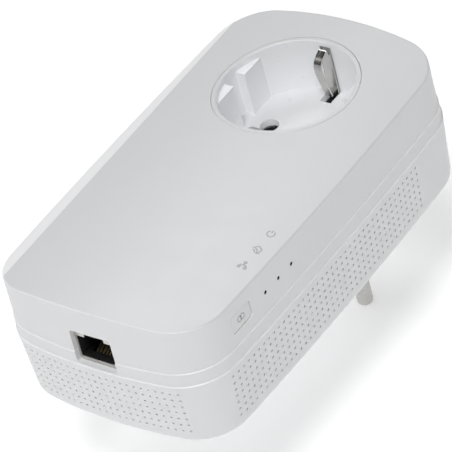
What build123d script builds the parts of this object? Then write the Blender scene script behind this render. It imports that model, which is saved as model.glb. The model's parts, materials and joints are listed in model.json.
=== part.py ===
from build123d import *
import math
import os

os.makedirs("parts", exist_ok=True)

# ------------------------------------------------------------------ driving dimensions (mm)
# frame: origin on the engagement face of the plug boss, midway between the two pins
# +Z out of the front, +Y toward the socket end, +X toward the status lights

# standard 16 A plug and socket sizes
PIN_R = 2.4             # pin radius (4.8 mm pins)
PIN_LEN = 19.0          # pin length below the engagement face
PIN_X = 9.5             # half of the 19 mm pin spacing
PIN_NECK_R = 2.15       # pin neck where it passes through the boss
PIN_TIP = 1.4           # rounding of the pin tip
BOSS_H = 17.0           # engagement face to housing back
BOSS_R = 18.4           # plug boss radius
BOSS_CAVITY_R = 15.9    # room inside the boss
RECESS_R = 19.6         # socket recess radius
RECESS_DEPTH = 17.5     # socket recess depth
ENTRY_R = 2.75          # contact entry holes in the recess floor

# housing
YC = -33.8              # middle of the body along Y
SIDE_BOW = 1.33         # how far the long sides swell at mid length
END_BOW = 3.9           # how far the short ends swell at mid width
WALL = 2.3              # wall thickness
BACK_T = 2.2            # thickness of the back
BACK_Z = BOSS_H         # back face height
LIP_Z = 38.1            # lower edge of the shoulder band
PART_Z = 42.3           # parting line between the two shells
BACK_A, BACK_B, BACK_R = 34.9, 64.4, 14.2    # half width, half length, corner radius at the back
LIP_A, LIP_B, LIP_R = 36.1, 65.5, 15.3       # widest line, overall 72.2 x 131
LIP_STEP = 0.2                               # height of the sloping step up to the band
BAND_A, BAND_B, BAND_R = 35.8, 65.2, 15.1    # band between the step and the parting line
BAND_EDGE = 0.15                             # height of the chamfer at the band's top
PART_A, PART_B, PART_R = 35.6, 65.0, 14.9    # parting line
COVER_A, COVER_B, COVER_R = 35.55, 64.95, 14.85  # the cover stands a hair inside the lower shell
TOP_A, TOP_B, TOP_R = 35.3, 64.7, 14.6       # front cover wall, drafted
CROWN_Z = 58.0          # height of the front along its middle
CROWN_DROP = 2.8        # the front falls this much toward the long edges
CROWN_R = (TOP_A ** 2 + CROWN_DROP ** 2) / (2 * CROWN_DROP)
ROOF = 2.4              # front wall thickness
FACET_NEAR, FACET_FAR = 5.6, 2.4             # width of the left edge facet at its two ends

# socket insert
RIM_R = 21.0            # outer radius of the rim seen in the front
FLOOR_Z = 58.4 - RECESS_DEPTH
FLOOR_T = 2.2
RIM_ROUND = 0.3         # rounding of the rim's two edges
FLAT_X, LEDGE_Z = 16.3, 55.1                 # flats at the recess's two sides, and their top ledge
NOTCH_W = 5.5           # guide notch in the middle of each flat
CLIP_Y, CLIP_W = 19.0, 3.4                   # earth clip: outer leg position and strip width
TONGUE_W = 2.4          # width of the clip's sprung tongue

# status lights and pair button on the +X side
LIGHT_Y = (-66.0, -60.0, -54.0)
LIGHT_Z = 48.3
LIGHT_HOLE_R = 0.6
BUTTON_Y, BUTTON_Z = -76.8, 48.6
BUTTON_L, BUTTON_H = 8.5, 5.3
BUTTON_GAP = 0.08
BUTTON_SINK = 0.4       # the cap lies this far below the wall

# ethernet port in the -Y end
PORT_X = 1.0
PORT_W, PORT_Z0, PORT_Z1 = 13.2, 38.5, 49.8
JACK_W, JACK_H, JACK_L = 16.2, 13.4, 18.0
JACK_Y0 = -97.2

# circuit board, parts hang from its underside
PCB_Z0, PCB_T = 51.2, 1.6
PCB_X, PCB_Y0, PCB_Y1 = 31.0, -95.0, -24.6

SCREW_POSTS = ((27.0, -88.6), (-27.0, -88.6), (25.6, 21.8), (-25.6, 21.8))
PCB_SCREWS = ((-27.8, -60.0), (28.0, -48.5), (-28.0, -42.0))


# ------------------------------------------------------------------ helpers
def box(x0, x1, y0, y1, z0, z1):
    size = (x1 - x0, y1 - y0, z1 - z0)
    return Pos((x0 + x1) / 2, (y0 + y1) / 2, (z0 + z1) / 2) * Box(*size)


def cyl(x, y, z0, z1, r):
    return Pos(x, y, (z0 + z1) / 2) * Cylinder(r, z1 - z0)


def cyl_x(x0, x1, y, z, r):
    return Pos((x0 + x1) / 2, y, z) * Rot(0, 90, 0) * Cylinder(r, x1 - x0)


def cyl_y(x, y0, y1, z, r):
    return Pos(x, (y0 + y1) / 2, z) * Rot(90, 0, 0) * Cylinder(r, y1 - y0)


def plan(a, b, r, z):
    """Housing outline: four gently swelled sides with rounded corners."""
    ca, cb = a - SIDE_BOW, b - END_BOW
    with BuildSketch(Plane.XY.offset(z)) as s:
        with BuildLine():
            ThreePointArc((ca, YC - cb), (a, YC), (ca, YC + cb))
            ThreePointArc((ca, YC + cb), (0, YC + b), (-ca, YC + cb))
            ThreePointArc((-ca, YC + cb), (-a, YC), (-ca, YC - cb))
            ThreePointArc((-ca, YC - cb), (0, YC - b), (ca, YC - cb))
        make_face()
        fillet(s.vertices(), r)
    return s.sketch


def tower(*levels):
    """Ruled solid through plan outlines given as (a, b, r, z)."""
    solid = None
    for low, high in zip(levels, levels[1:]):
        piece = loft([plan(*low).face(), plan(*high).face()], ruled=True)
        solid = piece if solid is None else solid + piece
    return solid


def crown(extra=0.0):
    """Long cylinder whose top is the swelled front surface."""
    r = CROWN_R + extra
    return Pos(0, YC, CROWN_Z - CROWN_R) * Rot(90, 0, 0) * Cylinder(r, 200)


def rounded_box(x0, x1, y0, y1, z0, z1, r):
    b = box(x0, x1, y0, y1, z0, z1)
    return fillet(b.edges().filter_by(Axis.Z), r)


def strip(points, width, thick, bend=1.0):
    """Flat metal strip bent in the YZ plane, centred on x = 0."""
    with BuildPart() as p:
        with BuildSketch(Plane.YZ):
            with BuildLine():
                FilletPolyline(*points, radius=bend)
            trace(line_width=thick)
        extrude(amount=width / 2, both=True)
    return p.part


def wire(points, r, bend=3.0):
    """Round insulated lead through the given points."""
    with BuildPart() as p:
        with BuildLine() as path:
            FilletPolyline(*points, radius=bend)
        with BuildSketch(Plane(origin=path.wire() @ 0, z_dir=path.wire() % 0)):
            Circle(r)
        sweep()
    return p.part


PARTS = {}


def keep(name, shape):
    PARTS[name] = shape


# ------------------------------------------------------------------ back housing with plug boss
back = tower((BACK_A, BACK_B, BACK_R, BACK_Z), (LIP_A, LIP_B, LIP_R, LIP_Z - LIP_STEP))
back = fillet(back.edges().group_by(Axis.Z)[0], 2.5)
back = back + tower((LIP_A, LIP_B, LIP_R, LIP_Z - LIP_STEP), (BAND_A, BAND_B, BAND_R, LIP_Z),
                    (BAND_A, BAND_B, BAND_R, PART_Z - BAND_EDGE), (PART_A, PART_B, PART_R, PART_Z))
back = back - tower((BACK_A - WALL, BACK_B - WALL, BACK_R - WALL, BACK_Z + BACK_T),
                    (PART_A - WALL, PART_B - WALL, PART_R - WALL, PART_Z + 1))
lap = tower((PART_A - 1.2, PART_B - 1.2, PART_R - 1.2, 39.7), (PART_A - 1.2, PART_B - 1.2, PART_R - 1.2, 43.5))
back = back - lap
back = back - cyl(0, 0, BACK_Z - 1, BACK_Z + 4, BOSS_R + 0.05)
for x, y in SCREW_POSTS:
    back = back + cyl(x, y, BACK_Z + 1, 39.7, 3.9)
    back = back - cyl(x, y, BACK_Z - 1, 25.0, 2.9)
    back = back - cyl(x, y, 24.0, 41.0, 1.65)
port = box(PORT_X - PORT_W / 2, PORT_X + PORT_W / 2, YC - LIP_B - 1, JACK_Y0 + 4, PORT_Z0, PORT_Z1)
port_hole = fillet(port.edges().filter_by(Axis.Y), 1.0)
back = back - port_hole
jack_room = box(PORT_X - JACK_W / 2 - 0.15, PORT_X + JACK_W / 2 + 0.15, JACK_Y0, JACK_Y0 + JACK_L + 1,
                PCB_Z0 - JACK_H - 0.3, PCB_Z0 + 0.1)
back = back - jack_room
label_x, label_y0, label_y1 = 22.0, -84.0, -30.0
back = back - box(-label_x - 0.2, label_x + 0.2, label_y0 - 0.2, label_y1 + 0.2, BACK_Z - 1, BACK_Z + 0.3)
keep("back_housing", back)

keep("rating_label", box(-label_x, label_x, label_y0, label_y1, BACK_Z + 0.1, BACK_Z + 0.3))

# ------------------------------------------------------------------ plug boss
# a cup that is pushed through the back housing from inside and stops on its flange
inside = BACK_Z + BACK_T
boss = cyl(0, 0, 0, inside, BOSS_R)
boss = fillet(boss.edges().group_by(Axis.Z)[0], 1.0)
boss = boss + cyl(0, 0, inside + 0.05, inside + 1.2, BOSS_R + 1.8) + cyl(0, 0, inside - 1, inside + 1.2, BOSS_R)
boss = boss - cyl(0, 0, 2.5, inside + 3, BOSS_CAVITY_R)
for sx in (-1, 1):
    boss = boss - cyl(sx * PIN_X, 0, -1, 3, PIN_NECK_R + 0.05) - cyl(sx * PIN_X, 0, -1, 0.6, PIN_R + 0.1)
    boss = boss - box(min(sx * 16.9, sx * 19), max(sx * 16.9, sx * 19), -2.75, 2.75, -1, 14.5)
    boss = boss - box(sx * PIN_X - 1.3, sx * PIN_X + 1.3, -22, -9, inside, inside + 3)
for sy in (-1, 1):
    slot_y = sorted((sy * 17.15, sy * 19))
    boss = boss - box(-3.1, 3.1, *slot_y, -1, BACK_Z)
    slot_y = sorted((sy * 17.15, sy * 18.05))
    boss = boss - box(-3.1, 3.1, *slot_y, BACK_Z - 1, BACK_Z + 4)
    slot_y = sorted((sy * 12, sy * 22))
    boss = boss - box(-3.4, 3.4, *slot_y, inside, inside + 3)
keep("plug_boss", boss)

# ------------------------------------------------------------------ front cover
cover = tower((COVER_A, COVER_B, COVER_R, PART_Z), (TOP_A, TOP_B, TOP_R, CROWN_Z + 4)) & crown()
crease = [e for e in cover.edges() if e.center().Z > CROWN_Z - 4]
cover = fillet(crease, 0.5)
tongue = tower((PART_A - 1.35, PART_B - 1.35, PART_R - 1.35, 39.9),
               (PART_A - 1.35, PART_B - 1.35, PART_R - 1.35, PART_Z + 0.5))
cover = cover + tongue
hollow = tower((PART_A - WALL, PART_B - WALL, PART_R - WALL, 39.0),
               (TOP_A - WALL, TOP_B - WALL, TOP_R - WALL, CROWN_Z + 2)) & crown(-ROOF)
cover = cover - hollow
# shallow facet along the -X edge, wide at the port end and fading toward the socket end
y_lo, y_hi = YC - TOP_B - 2, YC + TOP_B + 2
mid_lo, mid_hi = -(TOP_A - FACET_NEAR), -(TOP_A - FACET_FAR)


def crown_z(x):
    return CROWN_Z - CROWN_R + math.sqrt(CROWN_R ** 2 - x * x)


def facet_section(xb, y):
    slope = 0.27
    zb = crown_z(xb)
    out = -TOP_A - 3
    pts = ((out, y, zb - slope * (xb - out)), (xb, y, zb), (xb + 0.01, y, zb + 6), (out, y, zb + 6))
    return Face(Wire.make_polygon([Vector(*p) for p in pts]))


facet = loft([facet_section(mid_lo, y_lo), facet_section(mid_hi, y_hi)], ruled=True)
cover = cover - facet
cover = cover - cyl(0, 0, 50, 62, RIM_R + 0.07)
for x, y in SCREW_POSTS:
    cover = cover + (cyl(x, y, 39.9, 57.0, 3.9) & crown(-1.0))
    cover = cover - cyl(x, y, 39.0, 52.6, 1.2)
for x, y in PCB_SCREWS:
    cover = cover + (cyl(x, y, PCB_Z0 + PCB_T, 57.0, 2.6) & crown(-1.0))
    cover = cover - cyl(x, y, 50.0, 54.8, 1.1)
cover = cover - [cyl_x(32, 37, y, LIGHT_Z, LIGHT_HOLE_R) for y in LIGHT_Y]
button_y = (BUTTON_Y - BUTTON_L / 2 - BUTTON_GAP, BUTTON_Y + BUTTON_L / 2 + BUTTON_GAP)
button_z = (BUTTON_Z - BUTTON_H / 2 - BUTTON_GAP, BUTTON_Z + BUTTON_H / 2 + BUTTON_GAP)
cover = cover - fillet(box(30, 40, *button_y, *button_z).edges().filter_by(Axis.X), 0.9 + BUTTON_GAP)
cover = cover - port_hole
cover = cover - jack_room
keep("front_cover", cover)

# ------------------------------------------------------------------ socket insert
bowl = cyl(0, 0, FLOOR_Z - FLOOR_T, 61, RIM_R) & crown(0.06)
bowl = bowl - cyl(0, 0, FLOOR_Z, 62, RECESS_R)
rim_edges = [e for e in bowl.edges() if e.center().Z > CROWN_Z - 2 and e.geom_type != GeomType.LINE]
bowl = fillet(rim_edges, RIM_ROUND)
flange = (cyl(0, 0, 52.6, 58, 24.0) & crown(-ROOF - 0.05)) - cyl(0, 0, 50, 62, RIM_R - 0.5)
bowl = bowl + flange
for sx in (-1, 1):
    # flat side wall that ends in a ledge below the rim, with the guide notch in its middle
    x0, x1 = sorted((sx * FLAT_X, sx * (RIM_R - 0.5)))
    flat = box(x0, x1, -12, 12, FLOOR_Z - 0.5, LEDGE_Z) & cyl(0, 0, 30, 62, RIM_R - 0.5)
    bowl = bowl + flat - (box(x0, x1, -NOTCH_W / 2, NOTCH_W / 2, FLOOR_Z, 60) & cyl(0, 0, 30, 62, RECESS_R))
    bowl = bowl - cyl(sx * PIN_X, 0, 30, FLOOR_Z + 1, ENTRY_R)
for sy in (-1, 1):
    # pocket for the earth clip in the floor and a slot behind it in the wall
    pocket_y = sorted((sy * 14.2, sy * 20.35))
    bowl = bowl - box(-1.85, 1.85, *pocket_y, 30, FLOOR_Z + 0.5)
    slot_y = sorted((sy * 17, sy * 20.35))
    bowl = bowl - box(-1.85, 1.85, *slot_y, FLOOR_Z, 56.4)
keep("socket_insert", bowl)

# ------------------------------------------------------------------ contact carrier and current path
carrier = rounded_box(-14.2, 14.2, -6.4, 6.4, 10.0, FLOOR_Z - FLOOR_T, 1.0)
for sx in (-1, 1):
    carrier = carrier - cyl(sx * PIN_X, 0, 9, 45, 3.9)
    carrier = carrier - box(sx * PIN_X - 1.3, sx * PIN_X + 1.3, -8, 0, 19.6, 21.8)
carrier = carrier - box(-3.3, 3.3, -8, 8, 19.6, 21.4)
keep("contact_carrier", carrier)

pin = cyl(0, 0, -PIN_LEN, -0.5, PIN_R)
pin = fillet(pin.edges().group_by(Axis.Z)[0], PIN_TIP)
pin = pin + cyl(0, 0, -0.5, 2.5, PIN_NECK_R) + cyl(0, 0, 2.5, 4.2, 3.6) + cyl(0, 0, 4.2, 6.2, 1.5)
bar = box(-3.0, 3.0, -3.0, 3.0, 4.2, 5.0) - cyl(0, 0, 4, 6, 1.55)
bar = bar & cyl(0, 0, 3, 30, 3.6)
bar = bar + box(-2.0, 2.0, 2.2, 3.0, 4.2, 21.0)
bar = bar + box(-0.9, 0.9, -9.5, 3.0, 20.4, 21.0)
grip = cyl(0, 0, 21.0, FLOOR_Z - FLOOR_T - 0.3, 3.3) - cyl(0, 0, 20, 40, PIN_R + 0.1)
grip = grip - box(-0.5, 0.5, -4, 0, 25.5, 40) - box(-0.5, 0.5, 0, 4, 27.5, 40)
for name, sx in (("live", 1), ("neutral", -1)):
    keep("plug_pin_" + name, Pos(sx * PIN_X, 0, 0) * pin)
    keep("busbar_" + name, Pos(sx * PIN_X, 0, 0) * bar)
    keep("socket_contact_" + name, Pos(sx * PIN_X, 0, 0) * grip)

bridge = box(-1.7, 1.7, -CLIP_Y - 0.25, CLIP_Y + 0.25, 20.1, 20.9)
for sy in (-1, 1):
    y0, y1 = sorted((sy * (CLIP_Y - 0.25), sy * (CLIP_Y + 0.25)))
    bridge = bridge + box(-1.7, 1.7, y0, y1, 20.1, 35.3)
keep("earth_bridge", bridge)

for name, sy in (("upper", 1), ("lower", -1)):
    y0, y1 = sorted((sy * 17.25, sy * 17.95))
    f0, f1 = sorted((sy * 14.0, sy * 17.95))
    leg = box(-2.9, 2.9, y0, y1, 1.2, 19.2) + box(-2.9, 2.9, f0, f1, 19.2, 20.1)
    keep("plug_earth_strip_" + name, leg)

    y0, y1 = sorted((sy * (CLIP_Y - 0.25), sy * (CLIP_Y + 0.25)))
    profile = [(CLIP_Y, 53.0), (CLIP_Y, 56.4), (14.4, 54.1), (14.8, 49.5), (16.6, 41.4)]
    tongue = strip([(sy * y, z) for y, z in profile], TONGUE_W, 0.5, (0.7, 3.2, 6.0))
    clip = box(-CLIP_W / 2, CLIP_W / 2, y0, y1, 35.5, 54.6) + tongue
    keep("earth_clip_" + name, clip)

# ------------------------------------------------------------------ circuit board
pcb = rounded_box(-PCB_X, PCB_X, PCB_Y0, PCB_Y1, PCB_Z0, PCB_Z0 + PCB_T, 3.0)
corner_room = tower((PART_A - WALL - 0.6, PART_B - WALL - 0.6, PART_R - WALL - 0.6, 50),
                    (PART_A - WALL - 0.6, PART_B - WALL - 0.6, PART_R - WALL - 0.6, 54))
pcb = pcb & corner_room
for x, y in SCREW_POSTS[:2]:
    pcb = pcb - cyl(x, y, 50, 54, 4.3) - box(min(x, x * 2), max(x, x * 2), y - 4.3, y + 4.3, 50, 54)
    pcb = pcb - box(min(x, x * 2), max(x, x * 2), y - 14, y, 50, 54) - box(x - 4.3, x + 4.3, y - 14, y, 50, 54)
for x, y in PCB_SCREWS:
    pcb = pcb - cyl(x, y, 50, 54, 1.3)
button_room = box(30.2, 36, BUTTON_Y - BUTTON_L / 2 - 1.2, BUTTON_Y + BUTTON_L / 2 + 1.2, 50, 54)
pcb = pcb - button_room
keep("main_board", pcb)

# ------------------------------------------------------------------ ethernet port
jx0, jx1 = PORT_X - JACK_W / 2, PORT_X + JACK_W / 2
jy1 = JACK_Y0 + JACK_L
jz0, jz1 = PCB_Z0 - JACK_H, PCB_Z0
plug_mouth = box(PORT_X - 5.9, PORT_X + 5.9, JACK_Y0 - 1, jy1 - 5, jz0 + 2.0, jz0 + 9.2)
latch_mouth = box(PORT_X - 3.2, PORT_X + 3.2, JACK_Y0 - 1, jy1 - 5, jz0 + 9.0, jz0 + 11.6)
shell = box(jx0, jx1, JACK_Y0, jy1, jz0, jz1)
shell = shell - box(jx0 + 0.3, jx1 - 0.3, JACK_Y0 + 0.3, jy1 - 0.3, jz0 + 0.3, jz1 + 1)
shell = shell - plug_mouth - latch_mouth
keep("ethernet_shield", shell)
core = box(jx0 + 0.35, jx1 - 0.35, JACK_Y0 + 0.35, jy1 - 0.35, jz0 + 0.35, jz1)
core = core - plug_mouth - latch_mouth
comb_slot = box(PORT_X - 4.4, PORT_X + 4.4, JACK_Y0 + 2.6, jy1 - 5.5, jz0 + 0.9, jz0 + 3)
core = core - comb_slot
keep("ethernet_jack", core)
wires = None
for i in range(8):
    x = PORT_X + (i - 3.5) * 1.02
    y0, y1 = JACK_Y0 + 3.2, jy1 - 5.9
    low = box(x - 0.2, x + 0.2, y0, y1, jz0 + 1.0, jz0 + 1.35)
    tilt = Pos(x, y0 + 0.2, jz0 + 1.2) * Rot(24, 0, 0) * Pos(0, 4.2, 0) * Box(0.4, 8.4, 0.35)
    one = low + tilt
    wires = one if wires is None else wires + one
keep("ethernet_contacts", wires)
keep("lan_transformer", box(-6.4, 8.4, -76.9, -69.6, PCB_Z0 - 5.6, PCB_Z0))

# ------------------------------------------------------------------ pair button and its switch
def button_plate(x0, x1, grow, r):
    b = box(x0, x1, BUTTON_Y - BUTTON_L / 2 - grow, BUTTON_Y + BUTTON_L / 2 + grow,
            BUTTON_Z - BUTTON_H / 2 - grow, BUTTON_Z + BUTTON_H / 2 + grow)
    return fillet(b.edges().filter_by(Axis.X), r)


side_x = PART_A - SIDE_BOW * ((BUTTON_Y - YC) / PART_B) ** 2
cap_x = side_x - BUTTON_SINK
wall_in = cap_x - WALL
button = button_plate(wall_in - 0.4, cap_x, 0.0, 0.9)
button = fillet(button.faces().sort_by(Axis.X)[-1].edges(), 0.2)
button = button + button_plate(wall_in - 1.4, wall_in - 0.35, 0.7, 1.0)
stem_x = wall_in - 3.2
button = button + cyl_x(stem_x, wall_in - 1.2, BUTTON_Y, BUTTON_Z, 1.2)
keep("pair_button", button)
sw_x1 = stem_x - 0.75
switch = box(sw_x1 - 3.6, sw_x1, BUTTON_Y - 3.0, BUTTON_Y + 3.0, BUTTON_Z - 2.4, PCB_Z0)
switch = switch - cyl_x(sw_x1 - 1.6, sw_x1 + 1, BUTTON_Y, BUTTON_Z, 1.15)
keep("pair_switch_body", switch)
keep("pair_switch_plunger", cyl_x(sw_x1 - 0.9, stem_x - 0.03, BUTTON_Y, BUTTON_Z, 1.05))

# ------------------------------------------------------------------ status lights
guide = box(30.6, 31.4, LIGHT_Y[0] - 1.4, LIGHT_Y[-1] + 1.4, LIGHT_Z - 1.0, PCB_Z0)
for y in LIGHT_Y:
    guide = guide + cyl_x(31.0, 34.9, y, LIGHT_Z, LIGHT_HOLE_R - 0.05)
keep("light_guide", guide)
for name, y in zip(("ethernet", "powerline", "power"), LIGHT_Y):
    keep("led_" + name, box(28.4, 30.4, y - 0.8, y + 0.8, LIGHT_Z - 0.9, PCB_Z0))

# ------------------------------------------------------------------ signal electronics
keep("processor", box(-24.5, -10.5, -77.0, -63.0, PCB_Z0 - 1.2, PCB_Z0))
sink = box(-26.5, -8.5, -79.0, -61.0, PCB_Z0 - 3.0, PCB_Z0 - 1.2)
sink = sink - cyl(PCB_SCREWS[0][0], PCB_SCREWS[0][1], 40, 54, 3.0)
for i in range(7):
    x = -26.5 + i * 2.8
    sink = sink + box(x, x + 1.2, -79.0, -64.5, PCB_Z0 - 10.0, PCB_Z0 - 2.9)
keep("heatsink", sink)
keep("memory_chip", box(11.6, 19.6, -77.0, -65.0, PCB_Z0 - 1.1, PCB_Z0))
keep("flash_chip", box(12.4, 17.4, -86.5, -81.3, PCB_Z0 - 1.7, PCB_Z0))
can = rounded_box(-20.5, -9.5, -87.4, -82.8, PCB_Z0 - 3.6, PCB_Z0, 2.2)
keep("crystal", can)

# powerline coupling transformer: ring core in a potted base
cpx, cpy = 17.5, -56.0
keep("coupling_base", box(cpx - 7, cpx + 7, cpy - 6, cpy + 6, PCB_Z0 - 1.5, PCB_Z0))
ring = cyl(cpx, cpy, PCB_Z0 - 8.0, PCB_Z0 - 1.5, 5.6) - cyl(cpx, cpy, 30, 60, 2.6)
keep("coupling_core", ring)

# switch mode transformer, winding axis along Y
tx, ty, tz = -15.5, -48.0, PCB_Z0 - 8.5
yoke = box(tx - 9.5, tx + 9.5, ty - 9.5, ty + 9.5, tz - 3, tz + 3)
yoke = yoke - box(tx - 6.7, tx + 6.7, ty - 6.8, ty + 6.8, tz - 4, tz + 4)
keep("transformer_core", yoke + box(tx - 2.9, tx + 2.9, ty - 7, ty + 7, tz - 2.9, tz + 2.9))
bobbin = box(tx - 3.9, tx + 3.9, ty - 6.7, ty + 6.7, tz - 3.9, tz + 3.9)
for y0, y1 in ((ty - 6.7, ty - 5.7), (ty + 5.7, ty + 6.7)):
    bobbin = bobbin + box(tx - 6.6, tx + 6.6, y0, y1, tz - 6.6, PCB_Z0)
bobbin = bobbin - box(tx - 3.0, tx + 3.0, ty - 8, ty + 8, tz - 3.0, tz + 3.0)
keep("transformer_bobbin", bobbin)
winding = box(tx - 6.2, tx + 6.2, ty - 5.65, ty + 5.65, tz - 6.2, tz + 6.2)
winding = fillet(winding.edges().filter_by(Axis.Y), 1.5)
keep("transformer_winding", winding - box(tx - 3.95, tx + 3.95, ty - 8, ty + 8, tz - 3.95, tz + 3.95))

# ------------------------------------------------------------------ mains side electronics
def can_capacitor(x, y, r, h):
    c = cyl(x, y, PCB_Z0 - h, PCB_Z0, r)
    return fillet(c.edges().group_by(Axis.Z)[0], 0.6)


keep("bulk_capacitor_1", can_capacitor(0.5, -53.5, 5.0, 20.0))
keep("bulk_capacitor_2", can_capacitor(0.5, -42.5, 5.0, 20.0))
keep("output_capacitor", can_capacitor(1.5, -63.2, 4.0, 12.5))
keep("bridge_rectifier", box(8.0, 14.6, -47.4, -39.2, PCB_Z0 - 3.2, PCB_Z0))
keep("x2_capacitor", rounded_box(3.0, 20.5, -38.4, -30.4, PCB_Z0 - 14.0, PCB_Z0, 0.8))
chx, chy = -18.5, -31.6
choke = rounded_box(chx - 7, chx + 7, chy - 4.8, chy + 4.8, PCB_Z0 - 11.5, PCB_Z0 - 1.0, 1.5)
choke = choke - box(chx - 3.6, chx + 3.6, chy - 8, chy + 8, PCB_Z0 - 8.6, PCB_Z0 - 3.9)
keep("choke_core", choke)
coils = None
for sx in (-1, 1):
    x0, x1 = sorted((chx + sx * 3.6, chx + sx * 7.0))
    coil = box(x0 - 0.9, x1 + 0.9, chy - 5.7, chy + 5.7, PCB_Z0 - 8.4, PCB_Z0 - 4.1)
    coils = coil if coils is None else coils + coil
keep("choke_winding", coils - choke)
keep("fuse", cyl_y(24.2, -40.8, -30.4, PCB_Z0 - 3.2, 2.6) + box(23.7, 24.7, -39.6, -39.0, PCB_Z0 - 3.0, PCB_Z0)
     + box(23.7, 24.7, -32.2, -31.6, PCB_Z0 - 3.0, PCB_Z0))
disc = cyl_y(22.0, -49.2, -45.6, PCB_Z0 - 6.6, 5.0)
keep("varistor", disc + box(18.6, 19.4, -47.8, -47.0, PCB_Z0 - 4, PCB_Z0)
     + box(24.6, 25.4, -47.8, -47.0, PCB_Z0 - 4, PCB_Z0))

# ------------------------------------------------------------------ leads from the current path to the board
for name, sx in (("live", 1), ("neutral", -1)):
    x = sx * PIN_X
    pts = ((x, -9.6, 20.7), (x, -26.6, 20.7), (x, -26.6, PCB_Z0))
    keep("lead_" + name, wire(pts, 0.9))
pts = ((0, -CLIP_Y - 0.3, 28.0), (0, -26.6, 28.0), (0, -26.6, PCB_Z0))
keep("lead_earth", wire(pts, 0.9))

# ------------------------------------------------------------------ fasteners
screws = None
for x, y in SCREW_POSTS:
    one = cyl(x, y, 22.8, 25.0, 2.7) + cyl(x, y, 25.0, 52.4, 1.15)
    one = one - cyl(x, y, 22, 24.0, 1.2)
    screws = one if screws is None else screws + one
keep("housing_screws", screws)
small = None
for x, y in PCB_SCREWS:
    one = cyl(x, y, PCB_Z0 - 1.8, PCB_Z0, 2.2) + cyl(x, y, PCB_Z0, 54.6, 1.05)
    one = one - box(x - 2.5, x + 2.5, y - 0.3, y + 0.3, PCB_Z0 - 2, PCB_Z0 - 1.2)
    small = one if small is None else small + one
keep("board_screws", small)

# ------------------------------------------------------------------ export
for name, shape in PARTS.items():
    shape.label = name
    export_step(shape, "parts/" + name + ".step")
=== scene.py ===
import json
import math

import bmesh
import bpy
from mathutils import Matrix, Vector
from mathutils.bvhtree import BVHTree
from mathutils.geometry import barycentric_transform


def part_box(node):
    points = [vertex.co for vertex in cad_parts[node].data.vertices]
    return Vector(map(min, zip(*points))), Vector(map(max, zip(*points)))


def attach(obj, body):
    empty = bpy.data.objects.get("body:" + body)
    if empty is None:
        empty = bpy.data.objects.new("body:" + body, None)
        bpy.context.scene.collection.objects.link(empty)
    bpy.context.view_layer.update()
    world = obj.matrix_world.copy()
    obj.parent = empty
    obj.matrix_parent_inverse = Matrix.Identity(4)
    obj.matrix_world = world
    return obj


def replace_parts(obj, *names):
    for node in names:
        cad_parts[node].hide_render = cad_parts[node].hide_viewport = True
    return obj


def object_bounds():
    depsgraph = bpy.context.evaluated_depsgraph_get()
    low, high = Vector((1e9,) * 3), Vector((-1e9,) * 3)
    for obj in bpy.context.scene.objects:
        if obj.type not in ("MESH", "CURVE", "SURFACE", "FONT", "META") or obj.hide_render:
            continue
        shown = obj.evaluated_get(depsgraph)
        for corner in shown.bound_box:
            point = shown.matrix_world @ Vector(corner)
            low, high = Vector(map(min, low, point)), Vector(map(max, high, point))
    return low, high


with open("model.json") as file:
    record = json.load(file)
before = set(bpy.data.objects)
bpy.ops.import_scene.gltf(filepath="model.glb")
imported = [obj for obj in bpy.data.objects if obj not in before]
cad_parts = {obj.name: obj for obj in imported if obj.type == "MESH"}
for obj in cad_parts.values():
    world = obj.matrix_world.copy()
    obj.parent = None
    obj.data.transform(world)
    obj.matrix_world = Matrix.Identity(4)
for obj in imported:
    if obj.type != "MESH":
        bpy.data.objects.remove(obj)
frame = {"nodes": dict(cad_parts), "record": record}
CAD_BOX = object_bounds()
NODES = frame["nodes"]
MM = 0.001
X, Y, Z = Vector((1, 0, 0)), Vector((0, 1, 0)), Vector((0, 0, 1))
# the plain colours of the import give way to the materials below
for plain in list(bpy.data.materials):
    bpy.data.materials.remove(plain)

# ------------------------------------------------------------------ driving values
# camera fitted to the photo, in millimetres and degrees: azimuth 0 looks along +Y
CAM_TARGET = Vector((-1.8, -35.4, 35.1)) * MM
CAM_DISTANCE = 964.5 * MM
CAM_AZIMUTH, CAM_ELEVATION, CAM_ROLL = 43.95, 38.43, -15.36
CAM_LENS = 282.8

# vent dimples in the four walls, in millimetres: each is cut by a short tapered plug
VENT_ROWS, VENT_TOP_Z, VENT_PITCH_Z = 7, 35.4, 2.29
SIDE_COLUMNS, SIDE_FIRST_Y, SIDE_PITCH = 40, -85.6, 2.286
END_COLUMNS, END_FIRST_X, END_PITCH = 24, -25.3, 2.18
SIDE_VENT_RADIUS, END_VENT_RADIUS, VENT_DEPTH = 0.47, 0.40, 0.36
PLUG_SIDES, PLUG_PROUD, PLUG_TAPER = 14, 0.25, 0.86

# light guide, in millimetres: depth of its tips below the wall, length that counts as tip, and how far
# above each tip the wall is probed, clear of the light hole
TIP_DEPTH, TIP_LENGTH, PROBE_RISE = 0.12, 0.1, 2.0

# marks printed on the front and on the button, in millimetres
ICON_X, ICON_SIZE, ICON_STROKE = 29.9, 1.08, 0.34
POWER_Y, HOME_Y, NETWORK_Y = -52.8, -59.4, -65.8
PAIR_MARK_SIZE, PAIR_MARK_STROKE = 1.0, 0.36
STROKE_STEP, INK_PROUD, INK_SUNK, INK_PROBE = 0.25, 0.035, 0.01, 5.0

# painted highlights on the shell, painted light in the recess and the backdrop's even glow: emission
# strengths, and where they lie in millimetres; faint glows that only match the photo's tones:
# emission strengths, and where they lie in millimetres
CHAMFER_PAINTED_HIGHLIGHT, FACET_PAINTED_HIGHLIGHT, CREASE_PAINTED_HIGHLIGHT, RECESS_PAINTED_LIGHT, FLOOR_GLOW = 0.09, 0.18, 0.09, 0.09, 0.43
CHAMFER_Z = (38.0, 42.2)
RECESS_RADIUS, RECESS_FLOOR_Z = 19.6, 41.0

# backdrop, in metres
FLOOR_HALF, FLOOR_GAP = 3.0, 0.2 * MM


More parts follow.
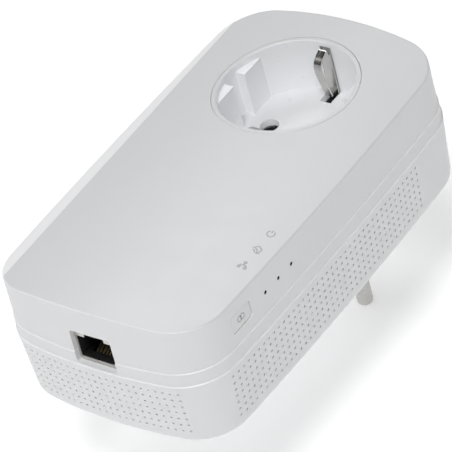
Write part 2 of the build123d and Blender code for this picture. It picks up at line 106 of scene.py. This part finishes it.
# ------------------------------------------------------------------ material helpers
class Look:
    """A Principled material, with short ways to add procedural colour, roughness and relief."""

    def __init__(self, name, color, roughness, metallic=0.0, **sockets):
        self.mat = bpy.data.materials.new(name)
        self.mat.use_nodes = True
        self.tree = self.mat.node_tree
        self.bsdf = self.tree.nodes["Principled BSDF"]
        self.color = color
        self.bsdf.inputs["Base Color"].default_value = (*color, 1)
        self.bsdf.inputs["Roughness"].default_value = roughness
        self.bsdf.inputs["Metallic"].default_value = metallic
        for key, value in sockets.items():
            self.bsdf.inputs[key.replace("_", " ")].default_value = value
        self.place = self.node("ShaderNodeTexCoord").outputs["Object"]
        self.height = None

    def node(self, kind, **values):
        n = self.tree.nodes.new(kind)
        for key, value in values.items():
            setattr(n, key, value)
        return n

    def link(self, out, socket):
        self.tree.links.new(out, socket)

    def stretched(self, scale):
        """Object coordinates in metres, scaled along the three axes."""
        m = self.node("ShaderNodeMapping")
        m.inputs["Scale"].default_value = scale
        self.link(self.place, m.inputs["Vector"])
        return m.outputs["Vector"]

    def noise(self, scale, detail, vector=None):
        n = self.node("ShaderNodeTexNoise")
        n.inputs["Scale"].default_value = scale
        n.inputs["Detail"].default_value = detail
        self.link(vector or self.place, n.inputs["Vector"])
        return n.outputs["Fac"]

    def cells(self, scale):
        n = self.node("ShaderNodeTexVoronoi")
        n.inputs["Scale"].default_value = scale
        self.link(self.place, n.inputs["Vector"])
        return n.outputs["Distance"]

    def waves(self, scale, distortion=0.0, profile="SIN"):
        """Bands one after another along Y."""
        n = self.node("ShaderNodeTexWave", bands_direction="Y", wave_profile=profile)
        n.inputs["Scale"].default_value = scale
        n.inputs["Distortion"].default_value = distortion
        self.link(self.place, n.inputs["Vector"])
        return n.outputs["Fac"]

    def span(self, factor, low, high, start=0.3, stop=0.7):
        """factor, taken from start..stop to low..high."""
        n = self.node("ShaderNodeMapRange")
        n.inputs["From Min"].default_value = start
        n.inputs["From Max"].default_value = stop
        n.inputs["To Min"].default_value = low
        n.inputs["To Max"].default_value = high
        self.link(factor, n.inputs["Value"])
        return n.outputs["Result"]

    def parts(self, vector):
        """The X, Y and Z of a vector, by name."""
        n = self.node("ShaderNodeSeparateXYZ")
        self.link(vector, n.inputs["Vector"])
        return n.outputs

    def facing(self):
        """The X, Y and Z of the direction in which the surface faces."""
        return self.parts(self.node("ShaderNodeNewGeometry").outputs["True Normal"])

    def math(self, operation, *values):
        n = self.node("ShaderNodeMath", operation=operation)
        for socket, value in zip(n.inputs, values):
            if isinstance(value, float):
                socket.default_value = value
            else:
                self.link(value, socket)
        return n.outputs[0]

    def tint(self, factor, other, start=0.3, stop=0.7):
        """Base colour runs from the main colour to another one with factor."""
        n = self.node("ShaderNodeValToRGB")
        first, last = n.color_ramp.elements
        first.position, last.position = start, stop
        first.color, last.color = (*self.color, 1), (*other, 1)
        self.link(factor, n.inputs["Fac"])
        self.link(n.outputs["Color"], self.bsdf.inputs["Base Color"])
        return self

    def gloss(self, factor, low, high):
        self.link(self.span(factor, low, high), self.bsdf.inputs["Roughness"])
        return self

    def glow(self, strength, color=(1, 1, 1)):
        self.link(strength, self.bsdf.inputs["Emission Strength"])
        self.bsdf.inputs["Emission Color"].default_value = (*color, 1)

    def relief(self, factor, depth_mm):
        """Adds a bump layer over the ones before it."""
        n = self.node("ShaderNodeBump")
        n.inputs["Strength"].default_value = 1.0
        n.inputs["Distance"].default_value = depth_mm * MM
        self.link(factor, n.inputs["Height"])
        if self.height is not None:
            self.link(self.height, n.inputs["Normal"])
        self.height = n.outputs["Normal"]
        self.link(self.height, self.bsdf.inputs["Normal"])
        return self


def moulded_look(name, color, roughness, grain_mm=0.35, depth_mm=0.004, mottle=0.985):
    """Injection moulded plastic: spark-eroded grain, faint mottling and uneven gloss."""
    look = Look(name, color, roughness, Specular_IOR_Level=0.5)
    soft = look.noise(45, 3)
    look.tint(soft, tuple(c * mottle for c in color))
    look.gloss(look.noise(160, 4), roughness - 0.03, roughness + 0.04)
    return look.relief(look.noise(1 / (grain_mm * MM), 3), depth_mm)


def moulded(*args, **values):
    """The same, where nothing more is added to it."""
    return moulded_look(*args, **values).mat


def plain_metal(name, color, roughness, stretch=(1, 1, 1), scratch=900, depth_mm=0.002, tarnish=0.9):
    """Sheet or turned metal: stretched fine scratches, a little tarnish."""
    look = Look(name, color, roughness, metallic=1.0)
    lines = look.noise(scratch, 3, look.stretched(stretch))
    look.tint(look.noise(220, 4), tuple(c * tarnish for c in color))
    look.gloss(lines, roughness - 0.05, roughness + 0.08)
    look.relief(lines, depth_mm)
    return look.mat


def housing_white():
    """White shell, with painted highlights: a faint glow on its chamfers, facet and crease stands in for
    light catching them. The faint glow on its chamfers, facet and crease only matches the photo's tones.
    """
    look = moulded_look("housing_white", (0.800, 0.806, 0.816), 0.36)
    height, facing = look.parts(look.place)["Z"], look.facing()
    painted_highlights = []
    # painted highlights: thin glowing bands along the two chamfers
    for middle in CHAMFER_Z:
        away = look.math("ABSOLUTE", look.math("SUBTRACT", height, middle * MM))
        painted_highlights.append(look.span(away, CHAMFER_PAINTED_HIGHLIGHT, 0, 0.1 * MM, 0.25 * MM))
    # painted highlight on the facet, the strip of the front that leans toward -X
    facet_highlight = look.span(facing["X"], FACET_PAINTED_HIGHLIGHT, 0, -0.245, -0.205)
    upward = look.span(facing["Z"], 0, 1, 0.93, 0.955)
    painted_highlights.append(look.math("MULTIPLY", facet_highlight, upward))
    # painted highlight on the crease, the front's rounded edge at the port end
    crease_highlight = look.span(facing["Y"], CREASE_PAINTED_HIGHLIGHT, 0, -0.35, -0.25)
    above_wall, below_front = look.span(facing["Z"], 0, 1, 0.35, 0.5), look.span(facing["Z"], 1, 0, 0.9, 0.96)
    painted_highlights.append(look.math("MULTIPLY", crease_highlight, look.math("MULTIPLY", above_wall, below_front)))
    painted_highlight_strength = painted_highlights[0]
    for glow in painted_highlights[1:]:
        painted_highlight_strength = look.math("MAXIMUM", painted_highlight_strength, glow)
    look.glow(painted_highlight_strength)
    return look.mat


def insert_white():
    """White insert, with painted light and shade: its walls and -X ledge are painted lighter and glow, while
    its rim, floor and +X ledge keep a darker tone as painted shade. The glow on its walls and the darker +X
    ledge only match the photo's tones.
    """
    look = Look("insert_white", (0.90, 0.91, 0.925), 0.30)
    from_axis = look.node("ShaderNodeVectorMath", operation="LENGTH")
    look.link(look.stretched((1, 1, 0)), from_axis.inputs[0])
    rim_start, rim_stop = (RECESS_RADIUS + 0.05) * MM, (RECESS_RADIUS + 0.3) * MM
    rim = look.span(from_axis.outputs["Value"], 0, 1, rim_start, rim_stop)
    place = look.parts(look.place)
    upward = look.span(look.facing()["Z"], 0, 1, 0.4, 0.6)
    low = look.span(place["Z"], 1, 0, (RECESS_FLOOR_Z + 3) * MM, (RECESS_FLOOR_Z + 4) * MM)
    right_side = look.span(place["X"], 0, 1, -1 * MM, 1 * MM)
    level = look.math("MULTIPLY", upward, look.math("MAXIMUM", low, right_side))
    # painted shade on the rim, floor and +X ledge (darker tone, no glow); painted light on the walls and -X
    # ledge (lighter tone and glow)
    shaded = look.math("MAXIMUM", rim, level)
    look.tint(shaded, (0.80, 0.806, 0.82), 0, 1)
    look.glow(look.span(shaded, RECESS_PAINTED_LIGHT, 0, 0, 1), (0.97, 0.98, 1))
    look.gloss(look.noise(160, 4), 0.27, 0.34)
    return look.relief(look.noise(2000, 3), 0.003).mat


def button_white():
    return moulded("button_white", (0.795, 0.802, 0.812), 0.33, grain_mm=0.3, depth_mm=0.003)


def label_silver():
    look = Look("label_silver", (0.62, 0.63, 0.64), 0.42, metallic=0.35)
    look.tint(look.noise(700, 2, look.stretched((1, 0.04, 1))), (0.70, 0.71, 0.72))
    look.gloss(look.noise(260, 3), 0.36, 0.5)
    return look.relief(look.noise(1500, 2), 0.003).mat


def carrier_grey():
    look = Look("carrier_grey", (0.33, 0.33, 0.34), 0.55)
    look.tint(look.cells(2600), (0.42, 0.42, 0.43), 0.1, 0.6)
    look.gloss(look.noise(400, 3), 0.5, 0.62)
    return look.relief(look.noise(2400, 2), 0.01).mat


def nickel_plated():
    """Turned pin: fine rings around its length under the plating."""
    look = Look("nickel_plated", (0.62, 0.61, 0.59), 0.27, metallic=1.0)
    rings = look.noise(1500, 2, look.stretched((0.02, 0.02, 1.6)))
    look.tint(look.noise(300, 3), (0.55, 0.54, 0.525))
    look.gloss(rings, 0.22, 0.36)
    return look.relief(rings, 0.0015).mat


def spring_steel_bright():
    return plain_metal("spring_steel_bright", (0.64, 0.63, 0.61), 0.20, (1, 0.05, 0.05), 1800, 0.002)


def brass_contact():
    return plain_metal("brass_contact", (0.76, 0.56, 0.27), 0.30, (1, 0.1, 0.1), 1200, 0.003, 0.8)


def tin_plated():
    return plain_metal("tin_plated", (0.50, 0.49, 0.48), 0.38, (1, 1, 0.1), 1300, 0.003, 0.85)


def board_green():
    """Solder mask over copper tracks that show as slightly raised, lighter lines."""
    look = Look("board_green", (0.012, 0.105, 0.045), 0.32, Coat_Weight=0.3, Coat_Roughness=0.2)
    n = look.node("ShaderNodeTexBrick", offset=0.37, squash=1.4)
    n.inputs["Scale"].default_value = 190
    n.inputs["Mortar Size"].default_value = 0.12
    look.link(look.place, n.inputs["Vector"])
    tracks = n.outputs["Fac"]
    look.tint(tracks, (0.03, 0.19, 0.075), 0.2, 0.8)
    look.gloss(look.noise(500, 3), 0.27, 0.4)
    return look.relief(tracks, 0.03).mat


def steel_shield():
    return plain_metal("steel_shield", (0.60, 0.585, 0.56), 0.30, (1, 0.06, 1), 1500, 0.003)


def black_plastic():
    look = Look("black_plastic", (0.012, 0.012, 0.013), 0.45)
    look.tint(look.noise(500, 4), (0.022, 0.022, 0.024))
    look.gloss(look.noise(300, 3), 0.38, 0.55)
    return look.relief(look.noise(4200, 2), 0.005).mat


def gold_plated():
    return plain_metal("gold_plated", (1.0, 0.84, 0.50), 0.40, (1, 0.1, 1), 2500, 0.001)


def button_grey():
    return moulded("button_grey", (0.12, 0.12, 0.13), 0.45)


def aluminium_fins():
    return plain_metal("aluminium_fins", (0.66, 0.67, 0.69), 0.34, (1, 0.03, 1), 900, 0.006)


def ferrite():
    look = Look("ferrite", (0.045, 0.045, 0.05), 0.5, Specular_IOR_Level=0.6)
    look.tint(look.cells(1800), (0.075, 0.075, 0.08), 0.1, 0.7)
    look.gloss(look.noise(700, 4), 0.4, 0.62)
    return look.relief(look.noise(2600, 4), 0.015).mat


def tape_yellow():
    """Polyester tape: the laps show as steps across the winding."""
    look = Look("tape_yellow", (0.72, 0.50, 0.07), 0.22)
    laps = look.waves(75, 0.6, "SAW")
    look.tint(laps, (0.62, 0.40, 0.045), 0.1, 0.95)
    look.gloss(look.noise(300, 2), 0.16, 0.3)
    return look.relief(laps, 0.05).mat


def copper_wire():
    """Close wound enamelled turns."""
    look = Look("copper_wire", (0.52, 0.19, 0.07), 0.24, metallic=0.85, Coat_Weight=0.5)
    turns = look.waves(420)
    look.tint(turns, (0.33, 0.10, 0.035), 0.1, 0.9)
    look.gloss(look.noise(350, 2), 0.2, 0.32)
    return look.relief(turns, 0.12).mat


def capacitor_sleeve():
    look = Look("capacitor_sleeve", (0.015, 0.017, 0.045), 0.28, Coat_Weight=0.2)
    look.tint(look.noise(140, 3, look.stretched((1, 1, 0.1))), (0.025, 0.028, 0.06))
    look.gloss(look.noise(260, 3), 0.22, 0.36)
    return look.relief(look.noise(420, 2, look.stretched((1, 1, 0.15))), 0.02).mat


def film_box_yellow():
    return moulded("film_box_yellow", (0.70, 0.48, 0.06), 0.38, 0.4, 0.006, 0.9)


def fuse_ceramic():
    return moulded("fuse_ceramic", (0.74, 0.71, 0.64), 0.3, 0.6, 0.006, 0.93)


def varistor_blue():
    """Dipped epoxy, slightly wavy."""
    look = Look("varistor_blue", (0.02, 0.07, 0.28), 0.3)
    look.tint(look.noise(380, 3), (0.035, 0.10, 0.34))
    look.gloss(look.noise(200, 2), 0.24, 0.38)
    return look.relief(look.noise(420, 2), 0.05).mat


def lead(name, color):
    """Extruded insulation with faint draw lines."""
    look = Look(name, color, 0.4)
    look.tint(look.noise(250, 3), tuple(c * 0.85 for c in color))
    look.gloss(look.noise(500, 2), 0.34, 0.5)
    return look.relief(look.noise(900, 2, look.stretched((1, 0.1, 0.1))), 0.01).mat


def led_lens():
    look = Look("led_lens", (0.72, 0.76, 0.70), 0.12, IOR=1.5, Transmission_Weight=0.35)
    look.tint(look.noise(900, 2), (0.62, 0.67, 0.60))
    return look.gloss(look.noise(500, 2), 0.08, 0.2).mat


def clear_guide():
    """Smoked guide: nearly black seen from outside while the lamps are off."""
    look = Look("clear_guide", (0.004, 0.004, 0.005), 0.5, Specular_IOR_Level=0.12)
    look.tint(look.noise(400, 2), (0.007, 0.007, 0.008))
    return look.gloss(look.noise(700, 2), 0.45, 0.6).mat


def zinc_screw():
    return plain_metal("zinc_screw", (0.55, 0.55, 0.56), 0.34, (1, 1, 1), 1400, 0.004, 0.85)


def grey_ink():
    """Pad printed ink: matte, slightly uneven."""
    look = Look("grey_ink", (0.47, 0.48, 0.49), 0.5)
    look.tint(look.noise(1400, 3), (0.52, 0.53, 0.54))
    return look.gloss(look.noise(900, 2), 0.45, 0.58).mat


MATERIALS = {
    m.name: m
    for m in (
        housing_white(), insert_white(), button_white(), label_silver(), carrier_grey(), nickel_plated(),
        spring_steel_bright(), brass_contact(), tin_plated(), board_green(), steel_shield(), black_plastic(),
        gold_plated(), button_grey(), aluminium_fins(), ferrite(), tape_yellow(), copper_wire(),
        capacitor_sleeve(), film_box_yellow(), fuse_ceramic(), varistor_blue(),
        lead("lead_brown", (0.13, 0.055, 0.022)), lead("lead_blue", (0.03, 0.10, 0.42)),
        lead("lead_green", (0.10, 0.34, 0.05)), led_lens(), clear_guide(), zinc_screw(), grey_ink(),
    )
}

for part in frame["record"]["subparts"]:
    mesh = NODES[part["node"]].data
    mesh.materials.clear()
    mesh.materials.append(MATERIALS[part["material_slot"]])


# ------------------------------------------------------------------ mesh helpers
def to_piece(bm, name, material, body):
    """Turns a bmesh into a piece of the object that rides on a body."""
    mesh = bpy.data.meshes.new(name)
    bm.to_mesh(mesh)
    bm.free()
    mesh.materials.append(MATERIALS[material])
    piece = bpy.data.objects.new(name, mesh)
    bpy.context.scene.collection.objects.link(piece)
    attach(piece, body)
    return piece


def welded(node):
    """A bmesh of a CAD node with its split vertices joined again."""
    bm = bmesh.new()
    bm.from_mesh(NODES[node].data)
    bmesh.ops.remove_doubles(bm, verts=bm.verts, dist=1e-6)
    return bm


def ring_points(centre, u, v, radius, sides):
    for k in range(sides):
        a = 2 * math.pi * (k + 0.5) / sides
        yield centre + (u * math.cos(a) + v * math.sin(a)) * radius


# ------------------------------------------------------------------ back shell with its vent dimples
def add_dimple_cutter(bm, spot, inward, radius):
    """A short tapered plug: cut from the wall, it leaves one dimple."""
    across = inward.cross(Z)
    outer = spot - inward * PLUG_PROUD * MM
    inner = spot + inward * VENT_DEPTH * MM
    big = [bm.verts.new(p) for p in ring_points(outer, Z, across, radius, PLUG_SIDES)]
    small = [bm.verts.new(p) for p in ring_points(inner, Z, across, radius * PLUG_TAPER, PLUG_SIDES)]
    for k in range(PLUG_SIDES):
        n = (k + 1) % PLUG_SIDES
        bm.faces.new((big[k], big[n], small[n], small[k]))
    bm.faces.new(big[::-1])
    bm.faces.new(small)


def carry_normals(mesh, source):
    """The uncut wall keeps the smooth normals of its CAD node; dimple faces have their own."""
    source.calc_loop_triangles()
    places = [v.co.copy() for v in source.vertices]
    triangles = [tuple(t.vertices) for t in source.loop_triangles]
    own = source.corner_normals
    corners = [[Vector(own[i].vector) for i in t.loops] for t in source.loop_triangles]
    tree = BVHTree.FromPolygons(places, triangles)
    normals = [None] * len(mesh.loops)
    for face in mesh.polygons:
        for i in face.loop_indices:
            normals[i] = face.normal.copy()
            if face.material_index == 0:
                spot = mesh.vertices[mesh.loops[i].vertex_index].co.lerp(face.center, 0.01)
                near, _, k, _ = tree.find_nearest(spot)
                triangle = [places[v] for v in triangles[k]]
                normals[i] = barycentric_transform(near, *triangle, *corners[k]).normalized()
    mesh.normals_split_custom_set(normals)


def vent_rays():
    """Start and direction of one ray per dimple toward the four walls, and its radius."""
    low, high = CAD_BOX
    middle_y = (low.y + high.y) / 2
    for row in range(VENT_ROWS):
        z = (VENT_TOP_Z - row * VENT_PITCH_Z) * MM
        for side in (1, -1):
            for i in range(SIDE_COLUMNS):
                y = (SIDE_FIRST_Y + i * SIDE_PITCH) * MM
                yield Vector((side * high.x * 1.5, y, z)), Vector((-side, 0, 0)), SIDE_VENT_RADIUS * MM
            for i in range(END_COLUMNS):
                x = (END_FIRST_X + i * END_PITCH) * MM
                start = Vector((x, middle_y + side * (high.y - low.y), z))
                yield start, Vector((0, -side, 0)), END_VENT_RADIUS * MM


def vented_back_shell():
    shell = welded("back_housing")
    tree = BVHTree.FromBMesh(shell)
    cutters = bmesh.new()
    for start, inward, radius in vent_rays():
        spot = tree.ray_cast(start, inward)[0]
        add_dimple_cutter(cutters, spot, inward, radius)
    bmesh.ops.recalc_face_normals(cutters, faces=cutters.faces)
    plugs = bpy.data.objects.new("vent_plugs", bpy.data.meshes.new("vent_plugs"))
    cutters.to_mesh(plugs.data)
    cutters.free()
    plugs.data.polygons.foreach_set("material_index", [1] * len(plugs.data.polygons))
    piece = to_piece(shell, "back_shell_vented", "housing_white", "housing")
    piece.data.materials.append(MATERIALS["housing_white"])
    cut = piece.modifiers.new("vents", "BOOLEAN")
    cut.operation, cut.solver, cut.object, cut.material_mode = "DIFFERENCE", "EXACT", plugs, "INDEX"
    graph = bpy.context.evaluated_depsgraph_get()
    done = bpy.data.meshes.new_from_object(piece.evaluated_get(graph))
    piece.modifiers.clear()
    piece.data = done
    bpy.data.objects.remove(plugs)
    done.shade_smooth()
    carry_normals(done, NODES["back_housing"].data)
    done.polygons.foreach_set("material_index", [0] * len(done.polygons))
    done.materials.pop()
    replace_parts(piece, "back_housing")


vented_back_shell()


# ------------------------------------------------------------------ light guide
def fitted_guide():
    """The guide with each tip brought to just below the curved wall it looks through."""
    guide, wall = welded("light_guide"), welded("front_cover")
    tree = BVHTree.FromBMesh(wall)
    tip_x = max(v.co.x for v in guide.verts)
    for v in guide.verts:
        if v.co.x > tip_x - TIP_LENGTH * MM:
            start = Vector((2 * tip_x, v.co.y, v.co.z + PROBE_RISE * MM))
            v.co.x = tree.ray_cast(start, -X)[0].x - TIP_DEPTH * MM
    wall.free()
    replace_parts(to_piece(guide, "light_guide_fitted", "clear_guide", "housing"), "light_guide")


fitted_guide()


# ------------------------------------------------------------------ printed marks
def arc(cx, cy, r, start, stop, steps=20):
    """Points of an arc, angles in degrees counted from +u toward +v."""
    angles = (math.radians(start + (stop - start) * i / steps) for i in range(steps + 1))
    return [(cx + r * math.cos(a), cy + r * math.sin(a)) for a in angles]


def square(cx, cy, half):
    return [(cx - half, cy - half), (cx + half, cy - half), (cx + half, cy + half),
            (cx - half, cy + half), (cx - half, cy - half)]


POWER = [arc(0, 0, 1, 125, 415), [(0, 0.25), (0, 1.25)]]
HOME = [[(-1.3, 0.15), (0, 1.25), (1.3, 0.15)], [(0.95, 0.1), (0.95, -1.1), (0.1, -1.1)],
        arc(-0.95, -1.1, 0.75, 0, 95), arc(-0.95, -1.1, 1.4, 0, 80)]
NETWORK = [square(0, 0.85, 0.3), square(-0.85, -0.85, 0.3), square(0.85, -0.85, 0.3),
           [(0, 0.5), (0, -0.1)], [(-0.85, -0.5), (-0.85, -0.1), (0.85, -0.1), (0.85, -0.5)]]
LINKED_RINGS = [arc(-0.62, 0, 0.8, 0, 360, 28), arc(0.62, 0, 0.8, 0, 360, 28)]


def subdivided(points, step):
    """Polyline with extra points, so that a stroke can follow a curved surface."""
    out = [points[0]]
    for (x0, y0), (x1, y1) in zip(points, points[1:]):
        n = max(1, math.ceil(math.hypot(x1 - x0, y1 - y0) / step))
        out += [(x0 + (x1 - x0) * i / n, y0 + (y1 - y0) * i / n) for i in range(1, n + 1)]
    return out


def heading(points, i):
    """Direction of a polyline at point i. A closed one runs on across its ends."""
    (x0, y0), (x1, y1) = points[max(i - 1, 0)], points[min(i + 1, len(points) - 1)]
    if points[0] == points[-1] and i in (0, len(points) - 1):
        (x0, y0), (x1, y1) = points[-2], points[1]
    length = math.hypot(x1 - x0, y1 - y0)
    return (x1 - x0) / length, (y1 - y0) / length


def lay_stroke(bm, tree, points, centre, right, up, scale, width):
    """A bar of ink of even width that follows the surface, a hair proud of it."""
    outward = right.cross(up)
    rails = []
    for i, (x, y) in enumerate(points):
        run, rise = heading(points, i)
        pair = []
        for half in (-width / 2, width / 2):
            flat = centre + (right * (x * scale - rise * half) + up * (y * scale + run * half)) * MM
            hit = tree.ray_cast(flat + outward * INK_PROBE * MM, -outward)[0]
            top, bottom = hit + outward * INK_PROUD * MM, hit - outward * INK_SUNK * MM
            pair.append((bm.verts.new(top), bm.verts.new(bottom)))
        rails.append(pair)
    for (a, b), (c, d) in zip(rails, rails[1:]):
        bm.faces.new((a[0], c[0], d[0], b[0]))
        bm.faces.new((a[1], b[1], d[1], c[1]))
        bm.faces.new((a[0], a[1], c[1], c[0]))
        bm.faces.new((b[0], d[0], d[1], b[1]))
    for a, b in (rails[0], rails[-1]):
        bm.faces.new((a[0], b[0], b[1], a[1]))


def print_mark(name, strokes, centre, right, up, scale, width, node, body):
    """Ink strokes laid on a node's surface."""
    shell = welded(node)
    tree = BVHTree.FromBMesh(shell)
    bm = bmesh.new()
    for stroke in strokes:
        lay_stroke(bm, tree, subdivided(stroke, STROKE_STEP), centre, right, up, scale, width)
    shell.free()
    bmesh.ops.recalc_face_normals(bm, faces=bm.faces)
    piece = to_piece(bm, name, "grey_ink", body)
    piece.data.shade_smooth()
    piece.data.set_sharp_from_angle(angle=math.radians(40))


front_top = CAD_BOX[1].z
for name, strokes, y in (("icon_power", POWER, POWER_Y), ("icon_home", HOME, HOME_Y),
                         ("icon_network", NETWORK, NETWORK_Y)):
    spot = Vector((ICON_X * MM, y * MM, front_top))
    print_mark(name, strokes, spot, X, Y, ICON_SIZE, ICON_STROKE, "front_cover", "housing")
button_centre = (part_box("pair_button")[0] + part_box("pair_button")[1]) / 2
button_spot = Vector((CAD_BOX[1].x, button_centre.y, button_centre.z))
print_mark("icon_pair", LINKED_RINGS, button_spot, Y, Z, PAIR_MARK_SIZE, PAIR_MARK_STROKE,
           "pair_button", "pair_button")


# ------------------------------------------------------------------ floor, light and camera
def floor():
    bm = bmesh.new()
    bmesh.ops.create_grid(bm, x_segments=1, y_segments=1, size=FLOOR_HALF)
    mesh = bpy.data.meshes.new("floor")
    bm.to_mesh(mesh)
    bm.free()
    sheet = bpy.data.objects.new("floor", mesh)
    sheet.location.z = CAD_BOX[0].z - FLOOR_GAP
    bpy.context.scene.collection.objects.link(sheet)
    look = Look("backdrop", (0.9, 0.9, 0.9), 0.9)
    look.tint(look.noise(3, 2), (0.91, 0.91, 0.91))
    look.bsdf.inputs["Emission Color"].default_value = (1, 1, 1, 1)
    look.bsdf.inputs["Emission Strength"].default_value = FLOOR_GLOW
    mesh.materials.append(look.mat)


def softbox(name, position, size, power):
    """A large round lamp aimed at the adapter: place and diameter in metres, power in watts."""
    data = bpy.data.lights.new(name, "AREA")
    data.shape, data.size, data.energy = "DISK", size, power
    lamp = bpy.data.objects.new(name, data)
    lamp.location = position
    aim = CAM_TARGET - lamp.location
    lamp.rotation_euler = aim.to_track_quat("-Z", "Y").to_euler()
    bpy.context.scene.collection.objects.link(lamp)


def studio_world():
    """White below and at the horizon, a faint band above it, dark overhead."""
    world = bpy.data.worlds.new("studio")
    bpy.context.scene.world = world
    world.use_nodes = True
    nodes, links = world.node_tree.nodes, world.node_tree.links
    split = nodes.new("ShaderNodeSeparateXYZ")
    ramp = nodes.new("ShaderNodeValToRGB")
    links.new(nodes.new("ShaderNodeTexCoord").outputs["Generated"], split.inputs[0])
    links.new(split.outputs["Z"], ramp.inputs["Fac"])
    links.new(ramp.outputs["Color"], nodes["Background"].inputs["Color"])
    stops = ((0.0, 1.0), (0.12, 0.0), (0.35, 0.08), (0.65, 0.0))
    while len(ramp.color_ramp.elements) < len(stops):
        ramp.color_ramp.elements.new(0.5)
    for element, (place, level) in zip(ramp.color_ramp.elements, stops):
        element.position = place
        element.color = (level, level, level * 1.01, 1)
    nodes["Background"].inputs["Strength"].default_value = 1.0


def camera():
    data = bpy.data.cameras.new("camera")
    data.lens, data.sensor_width = CAM_LENS, 36
    data.clip_start, data.clip_end = 0.01, 20
    eye = bpy.data.objects.new("camera", data)
    turn = Matrix.Rotation(math.radians(CAM_AZIMUTH), 4, "Z")
    tilt = Matrix.Rotation(math.radians(90 - CAM_ELEVATION), 4, "X")
    roll = Matrix.Rotation(math.radians(CAM_ROLL), 4, "Z")
    back = Matrix.Translation((0, 0, CAM_DISTANCE))
    eye.matrix_world = Matrix.Translation(CAM_TARGET) @ turn @ tilt @ back @ roll
    bpy.context.scene.collection.objects.link(eye)
    bpy.context.scene.camera = eye


floor()
studio_world()
softbox("overhead", (0.3, -0.5, 1.3), 0.6, 11.5)
softbox("front", (-0.35, -1.1, 1.1), 0.9, 1.0)
softbox("left", (-1.2, -0.5, 1.0), 0.9, 2.7)
softbox("right_front", (0.9, -0.9, 1.0), 0.8, 0.2)
softbox("back_top", (-0.55, 0.55, 1.1), 0.5, 3.3)
camera()
bpy.context.scene.view_settings.view_transform = "Standard"
